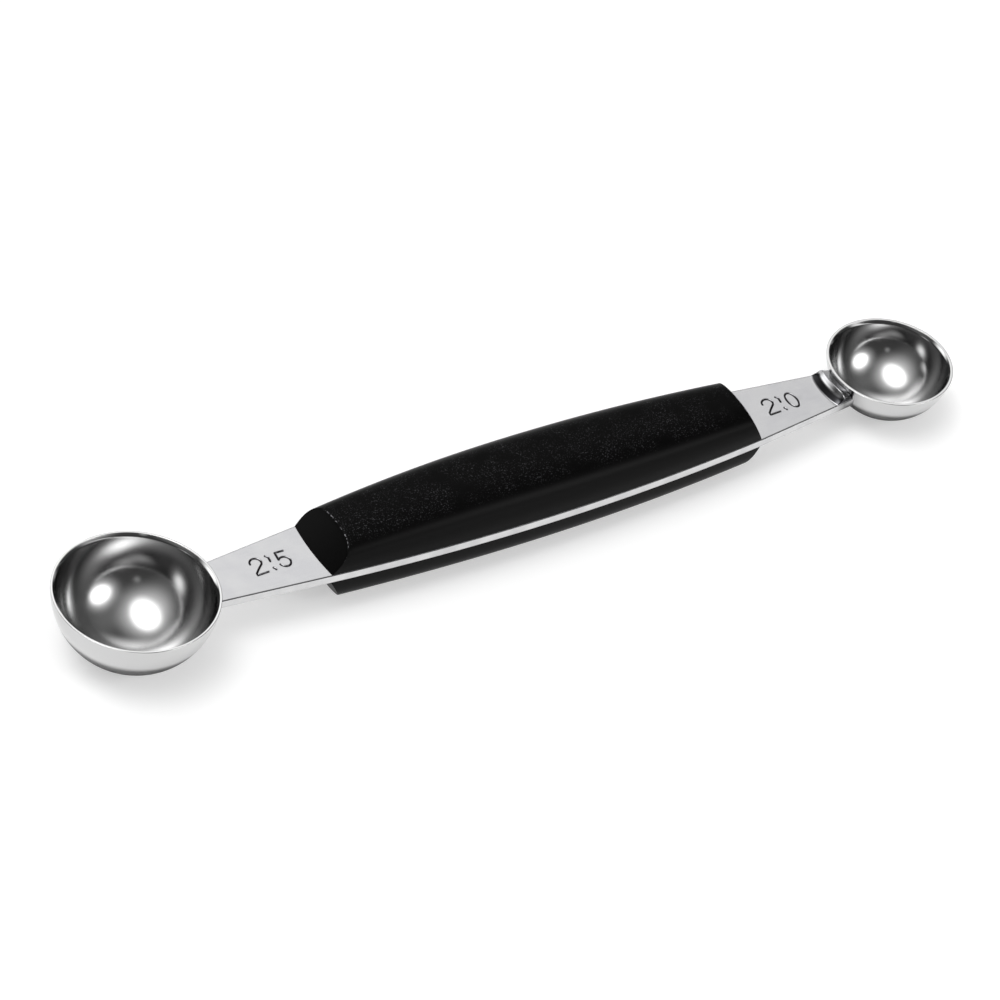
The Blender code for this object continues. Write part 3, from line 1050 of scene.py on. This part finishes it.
@dataclass
class Strip:
    """The flat bar from bowl to bowl, which is also the tang between the scales.

    Its mesh is fine where the numbers are stamped. There a neck is about number_width times as
    wide as at the handle, and the fine columns are spread for that.
    """

    node: str
    plan: HandlePlan
    necks: tuple[Neck, Neck]
    top_z: float
    bottom_z: float
    arris: float = 0.13
    arris_steps: int = 3
    edge_levels: int = 4
    fine_step: float = 0.08
    coarse_step: float = 1.2
    number_width: float = 0.83
    outermost_column: float = 0.985
    side_columns: int = 5
    rows_before_number: int = 4
    rows_after_number: int = 5
    face_margin: float = 0.01
    edge_rise: float = 0.3

    def columns(self) -> list[float]:
        """Shares across the flat, close together where the numbers are stamped."""
        half_width = self.plan.end_width / 2
        number_reach = max(abs(y) for neck in self.necks for y in neck.number.box()[2:])
        reach = number_reach / (half_width * self.number_width)
        count = 2 * math.ceil(reach * half_width / self.fine_step)
        coarse = spread(reach, self.outermost_column, self.side_columns)[1:] + [1.0]
        return [-share for share in coarse[::-1]] + spread(-reach, reach, count) + coarse

    def ring(
        self, top: Callable[[float], Point], bottom: Callable[[float], Point], half_width: float,
        lean: Flat = (0.0, 1.0),
    ) -> list[Point]:
        """The strip's rounded section at one station, as a closed ring.

        Args:
            top: Gives the place on the top face at a share across it.
            bottom: Gives the place on the bottom face.
            half_width: Half the strip's width there.
            lean: The parts along +X and +Z of the top face's normal.

        Returns:
            The ring's points.
        """
        rounded = self.arris / half_width
        edge = []
        for turn in spread(math.pi / 2, 0.0, self.arris_steps):
            edge.append((1.0 - rounded * (1.0 - math.sin(turn)), self.arris * (1.0 - math.cos(turn))))
        flats = [(share * (1.0 - rounded), 0.0) for share in self.columns()[1:-1]]
        over, under = [], []
        for share, drop in [(-share, drop) for share, drop in edge] + flats + edge[::-1]:
            x, y, z = top(share)
            over.append((x - lean[0] * drop, y, z - lean[1] * drop))
            x, y, z = bottom(share)
            under.append((x, y, z + drop))
        far = self.between(over[-1], under[-1])
        near = self.between(under[0], over[0])
        return over + far + under[::-1] + near

    def flat_ring(self, place: Callable[[float], Flat], half_width: float) -> list[Point]:
        """A ring where both faces are flat, at the places that the plan gives for shares across it."""
        return self.ring(
            lambda share: (*place(share), self.top_z), lambda share: (*place(share), self.bottom_z),
            half_width,
        )

    def between(self, start: Point, end: Point) -> list[Point]:
        """Points down the strip's edge between its two arrises."""
        return [
            tuple(a + (b - a) * level / self.edge_levels for a, b in zip(start, end))
            for level in range(1, self.edge_levels)
        ]

    def neck_rings(self, neck: Neck) -> list[list[Point]]:
        """Rings from the bowl's wall along the neck to the handle."""
        rings = []
        toward = neck.bowl.toward_handle
        profile = neck.lip_profile()
        foot_radius = neck.bowl.wall_radius(self.bottom_z, neck.weld_gap)
        first, last = profile[0][0], profile[-1][0]
        for radius, z, out, upward in profile:
            under = foot_radius + (last - foot_radius) * (radius - first) / (last - first)
            half_width = abs(neck.arc_point(radius, 1.0)[1])

            def top(share: float) -> Point:
                """A place on the lip or its bend."""
                rise = (z - self.top_z) * neck.lip.height_share(share)
                return (*neck.arc_point(radius, share), self.top_z + rise)

            def bottom(share: float) -> Point:
                """A place on the flat underside below it."""
                return (*neck.arc_point(under, share), self.bottom_z)

            rings.append(self.ring(top, bottom, half_width, (out * toward, upward)))
        bend_x = neck.bowl.x + toward * last
        low_x, high_x = neck.number.box()[:2]
        near_x, far_x = (low_x, high_x) if toward > 0 else (high_x, low_x)
        start, end = ((x - bend_x) / (neck.handle_x - bend_x) for x in (near_x, far_x))
        shares = spread(0.0, start, self.rows_before_number)[1:-1]
        shares += spread(start, end, math.ceil((high_x - low_x) / self.fine_step))
        shares += spread(end, 1.0, self.rows_after_number)[1:]
        half_at_bend = abs(neck.arc_point(last, 1.0)[1])
        for along in shares:
            half_width = neck.plan.end_width / 2 * along + half_at_bend * (1.0 - along)

            def plan_point(share: float) -> Flat:
                """A place on the flat neck, between the bend's arc and the handle's straight end."""
                bent = neck.arc_point(last, share)
                straight = (neck.handle_x, neck.plan.end_width / 2 * share)
                return tuple(b + (s - b) * along for b, s in zip(bent, straight))

            rings.append(self.flat_ring(plan_point, half_width))
        return rings

    def stamp(self, builder: bmesh.types.BMesh) -> None:
        """Press both numbers into the top face."""
        for neck in self.necks:
            low_x, high_x, low_y, high_y = (value * MM for value in neck.number.box())
            lines = neck.number.strokes
            for vertex in builder.verts:
                x, y, z = vertex.co
                on_top = z > (self.top_z - self.face_margin) * MM
                if on_top and low_x < x < high_x and low_y < y < high_y:
                    away = neck.number.distance(x / MM, y / MM, lines)
                    vertex.co.z += neck.number.press(away) * MM

    def cap(self, builder: bmesh.types.BMesh, ring: list, neck: Neck) -> None:
        """Close the end of the strip that lies against the bowl's wall.

        Args:
            builder: The strip's mesh.
            ring: The vertices of the last ring.
            neck: The neck that ends there.
        """
        side = self.edge_levels - 1
        count = (len(ring) - 2 * side) // 2
        top, far = ring[:count], ring[count:count + side]
        bottom, near = ring[count + side:2 * count + side][::-1], ring[2 * count + side:][::-1]
        rows = [top]
        for level in range(side):
            row = [near[level]]
            share = (level + 1) / self.edge_levels
            for above, below in zip(top[1:-1], bottom[1:-1]):
                z = above.co.z + (below.co.z - above.co.z) * share
                radius = neck.bowl.wall_radius(z / MM, neck.weld_gap) * MM
                reach = math.sqrt(max(0.0, radius ** 2 - above.co.y ** 2))
                x = neck.bowl.x * MM + neck.bowl.toward_handle * reach
                row.append(builder.verts.new((x, above.co.y, z)))
            rows.append(row + [far[level]])
        rows.append(bottom)
        for here, there in zip(rows, rows[1:]):
            for column in range(count - 1):
                builder.faces.new((here[column], here[column + 1], there[column + 1], there[column]))

    def build(self, face: bpy.types.Material, edge: bpy.types.Material) -> bpy.types.Object:
        """Skin the strip from wall to wall, stamp it and dress it.

        Args:
            face: The finish of its two faces.
            edge: A paler copy of that finish for its cut edges, painted light.

        Returns:
            The strip.
        """
        large, small = self.necks
        tang = []
        count = math.ceil((self.plan.end_x - self.plan.start_x) / self.coarse_step)
        for x in spread(self.plan.start_x, self.plan.end_x, count)[1:-1]:
            half_width = self.plan.half_width(x)
            tang.append(self.flat_ring(lambda share: (x, half_width * share), half_width))
        builder = bmesh.new()
        grid = skin(builder, self.neck_rings(large) + tang + self.neck_rings(small)[::-1], closed=True)
        self.cap(builder, grid[0], large)
        self.cap(builder, grid[-1], small)
        self.stamp(builder)
        builder.normal_update()
        for polygon in builder.faces:
            level = polygon.calc_center_median().z / MM
            if abs(polygon.normal.z) < self.edge_rise and self.bottom_z < level < self.top_z:
                polygon.material_index = 1
        made = finish_mesh(f"{self.node}_satin", builder, [face, edge])
        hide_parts(self.node)
        return made


# ---------------------------------------------------------------- studio


@dataclass(frozen=True)
class SoftWindow:
    """A soft oval of light in the room round the object, seen only by what it lights and reflects in.

    Its place is given as degrees from straight overhead, along the frame's +X and +Y, and its half
    size in degrees. Its light rises from nothing at its edge to its full level over the softness,
    a share of the way to its middle.
    """

    name: str
    place: Flat
    half_size: Flat
    softness: float
    level: float
    turn: float = 0.0

    def axes(self) -> tuple[Vector, Vector, Vector]:
        """The window's direction, and its own two axes."""
        from_overhead = math.radians(math.hypot(*self.place))
        round_axis = math.atan2(self.place[1], self.place[0])
        toward = Vector((
            math.sin(from_overhead) * math.cos(round_axis),
            math.sin(from_overhead) * math.sin(round_axis),
            math.cos(from_overhead),
        ))
        first = Vector((1.0, 0.0, 0.0))
        first = (first - toward * first.dot(toward)).normalized()
        first = Matrix.Rotation(math.radians(self.turn), 3, toward) @ first
        return toward, first, toward.cross(first)

    def light(self, tree: bpy.types.NodeTree, direction: bpy.types.NodeSocket) -> bpy.types.NodeSocket:
        """Add the window's nodes.

        Args:
            tree: The world's node tree.
            direction: The direction that is looked in.

        Returns:
            The window's share of the light in that direction.
        """
        toward, first, second = self.axes()
        from_middle = add_node(
            tree, "ShaderNodeMapping",
            {
                "Vector": direction, "Location": toward,
                "Rotation": Matrix((first, second, toward)).transposed().to_euler(),
                "Scale": (*(math.radians(half) for half in self.half_size), 1.0),
            },
            vector_type="TEXTURE",
        )
        closeness = add_node(
            tree, "ShaderNodeTexGradient", {"Vector": from_middle.outputs[0]}, gradient_type="SPHERICAL"
        )
        return add_node(
            tree, "ShaderNodeMapRange",
            {"Value": closeness.outputs["Fac"], "From Max": self.softness, "To Max": self.level},
            interpolation_type="SMOOTHSTEP",
        ).outputs[0]


@dataclass
class Studio:
    """A white paper floor in a dim room with soft windows."""

    paper: SweepPaper
    windows: tuple[SoftWindow, ...] = (
        SoftWindow("overhead_softbox", (-19.0, 2.0), (23.0, 32.0), 1.0, 6.5),
        SoftWindow("overhead_glow", (-20.0, 2.0), (47.0, 52.0), 0.9, 1.2, 3.0),
        SoftWindow("side_softbox", (33.0, -44.0), (23.0, 14.0), 1.0, 6.5, 8.0),
        SoftWindow("side_glow", (32.0, -45.0), (36.0, 25.0), 0.9, 1.2, 8.0),
        SoftWindow("back_wall", (22.0, 41.0), (42.0, 20.0), 1.0, 1.65, -24.0),
        SoftWindow("back_wall_left", (-9.0, 59.0), (36.0, 19.0), 0.9, 1.45, 7.0),
        SoftWindow("left_wall", (-53.0, -7.0), (39.0, 35.0), 0.95, 0.21, -36.0),
        SoftWindow("right_wall", (36.0, -7.0), (44.0, 26.0), 0.95, 0.12, 13.0),
        SoftWindow("low_left_paper", (-60.0, 57.0), (28.0, 12.5), 0.9, 2.6, 37.0),
        SoftWindow("low_front_paper", (29.0, -78.0), (29.0, 10.5), 0.9, 2.9, 15.0),
        SoftWindow("camera_glint", (-32.0, -50.0), (7.0, 6.0), 0.85, 0.45, -24.0),
    )
    room_level: float = 0.09
    floor_size: float = 6000.0
    low_x: float = -70.0
    low_z: float = 0.0
    high_x: float = 72.5
    high_z: float = 1.9

    def light(self) -> None:
        """Paint the room's light by direction. The camera sees plain white instead."""
        world = bpy.data.worlds.new("studio")
        bpy.context.scene.world = world
        world.use_nodes = True
        tree = world.node_tree
        tree.nodes.clear()
        place = add_node(tree, "ShaderNodeTexCoord")
        direction = place.outputs["Generated"]
        total = self.room_level
        for window in self.windows:
            total = add_node(
                tree, "ShaderNodeMath", {0: total, 1: window.light(tree, direction)}, operation="ADD"
            ).outputs[0]
        room = add_node(tree, "ShaderNodeBackground", {"Strength": total})
        white = add_node(tree, "ShaderNodeBackground", {"Strength": 1.0})
        for shade in (room, white):
            shade.inputs["Color"].default_value = (1.0, 1.0, 1.0, 1.0)
        path = add_node(tree, "ShaderNodeLightPath")
        shader = add_node(
            tree, "ShaderNodeMixShader",
            {0: path.outputs["Is Camera Ray"], 1: room.outputs[0], 2: white.outputs[0]},
        )
        add_node(tree, "ShaderNodeOutputWorld", {"Surface": shader.outputs[0]})

    def lay_floor(self) -> bpy.types.Object:
        """Lay the paper under both bowls. It tilts a little, because the small bowl hangs higher."""
        slope = (self.high_z - self.low_z) / (self.high_x - self.low_x)
        half = self.floor_size / 2
        builder = bmesh.new()
        builder.faces.new([
            builder.verts.new(Vector((x, y, self.low_z + slope * (x - self.low_x))) * MM)
            for x, y in ((-half, -half), (half, -half), (half, half), (-half, half))
        ])
        mesh = bpy.data.meshes.new("floor")
        builder.to_mesh(mesh)
        builder.free()
        mesh.materials.append(self.paper.material())
        floor = bpy.data.objects.new("floor", mesh)
        bpy.context.scene.collection.objects.link(floor)
        return floor


@dataclass
class ViewCamera:
    """The camera, fitted to the photograph's view."""

    place: Point = (-394.9, -471.7, 574.0)
    azimuth: float = 39.70
    drop: float = 42.74
    roll: float = 11.93
    lens: float = 188.96
    sensor: float = 36.0
    clip_metres: Flat = (0.01, 100.0)

    def set_up(self) -> bpy.types.Object:
        """Make the scene's camera."""
        azimuth, drop, roll = (math.radians(angle) for angle in (self.azimuth, self.drop, self.roll))
        ahead = Vector((
            math.sin(azimuth) * math.cos(drop), math.cos(azimuth) * math.cos(drop), -math.sin(drop)
        ))
        level_right = Vector((math.cos(azimuth), -math.sin(azimuth), 0.0))
        level_down = ahead.cross(level_right)
        right = level_right * math.cos(roll) - level_down * math.sin(roll)
        down = level_right * math.sin(roll) + level_down * math.cos(roll)
        data = bpy.data.cameras.new("camera")
        data.lens = self.lens
        data.sensor_width = self.sensor
        data.clip_start, data.clip_end = self.clip_metres
        camera = bpy.data.objects.new("camera", data)
        turn = Matrix((right, -down, -ahead)).transposed().to_4x4()
        camera.matrix_world = Matrix.Translation(Vector(self.place) * MM) @ turn
        bpy.context.scene.collection.objects.link(camera)
        bpy.context.scene.camera = camera
        return camera


def dress_pins(material: bpy.types.Material) -> None:
    """Give the hidden dowel pins, which stay as the frame has them, the strip's steel."""
    for name in ("pin_large_end", "pin_middle", "pin_small_end"):
        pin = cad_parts[name]
        pin.data.materials.clear()
        pin.data.materials.append(material)
        log.info("dressed %s", name)


def main() -> None:
    """Build the melon baller and its studio."""
    logging.basicConfig(level=logging.INFO, format="%(name)s: %(message)s")
    plan = HandlePlan()
    strip_top, strip_bottom = 9.3, 7.7
    large = Bowl("large_bowl", -70.0, 1.0, rim_z=12.75, outer_radius=13.19, depth=12.75)
    small = Bowl("small_bowl", 72.5, -1.0, rim_z=11.4, outer_radius=10.68, depth=9.5, land=0.46)
    large_number = StampedNumber((glyph_two, glyph_point, glyph_five), (-45.63, 0.28), 2.22)
    small_number = StampedNumber((glyph_two, glyph_point, glyph_nought), (51.13, 0.15), 2.17)
    large_lip = Lip(0.7, ((13.17, 0.6, 0.1), (13.17, 1.0, 0.12), (13.59, 1.0, 0.12), (13.59, 0.0, 0.3)))
    small_lip = Lip(1.2, ((12.05, 1.85, 0.12), (12.53, 0.97, 0.4), (13.5, 0.0, 0.25)), end_fall=0.6)
    necks = (
        Neck(large, plan, large_number, strip_top, strip_bottom, 8.3, large_lip),
        Neck(small, plan, small_number, strip_top, strip_bottom, 7.4, small_lip),
    )
    strip = Strip("strip", plan, necks, strip_top, strip_bottom)
    satin = SatinSteel(strip_top).material()
    # The cut edges get a paler copy of the strip's steel: painted light that brightens them.
    edge = SatinSteel(strip_top, "satin_steel_edge_lightened", colour="#D6D6D6", cloud_colour="#C8C8C9").material()
    plastic = SparkErodedPlastic().material()
    made = [large.build(), small.build(), strip.build(satin, edge)]
    upper = Scale(
        "upper_scale", Side.UPPER, plan, strip_top, 6.495, ScaleEnd(4.5, 52.0), ScaleEnd(4.8, 63.0)
    )
    lower = Scale(
        "lower_scale", Side.LOWER, plan, strip_bottom, 5.85, ScaleEnd(5.8, 61.0), ScaleEnd(5.0, 59.0)
    )
    made += [upper.build(plastic), lower.build(plastic)]
    for piece in made:
        log.info("built %s with %d faces", piece.name, len(piece.data.polygons))
    dress_pins(satin)
    studio = Studio(SweepPaper(tuple((bowl.x, bowl.outer_radius) for bowl in (large, small))))
    studio.light()
    studio.lay_floor()
    ViewCamera().set_up()
    bpy.context.scene.view_settings.view_transform = "Standard"


if __name__ == "__main__":
    main()
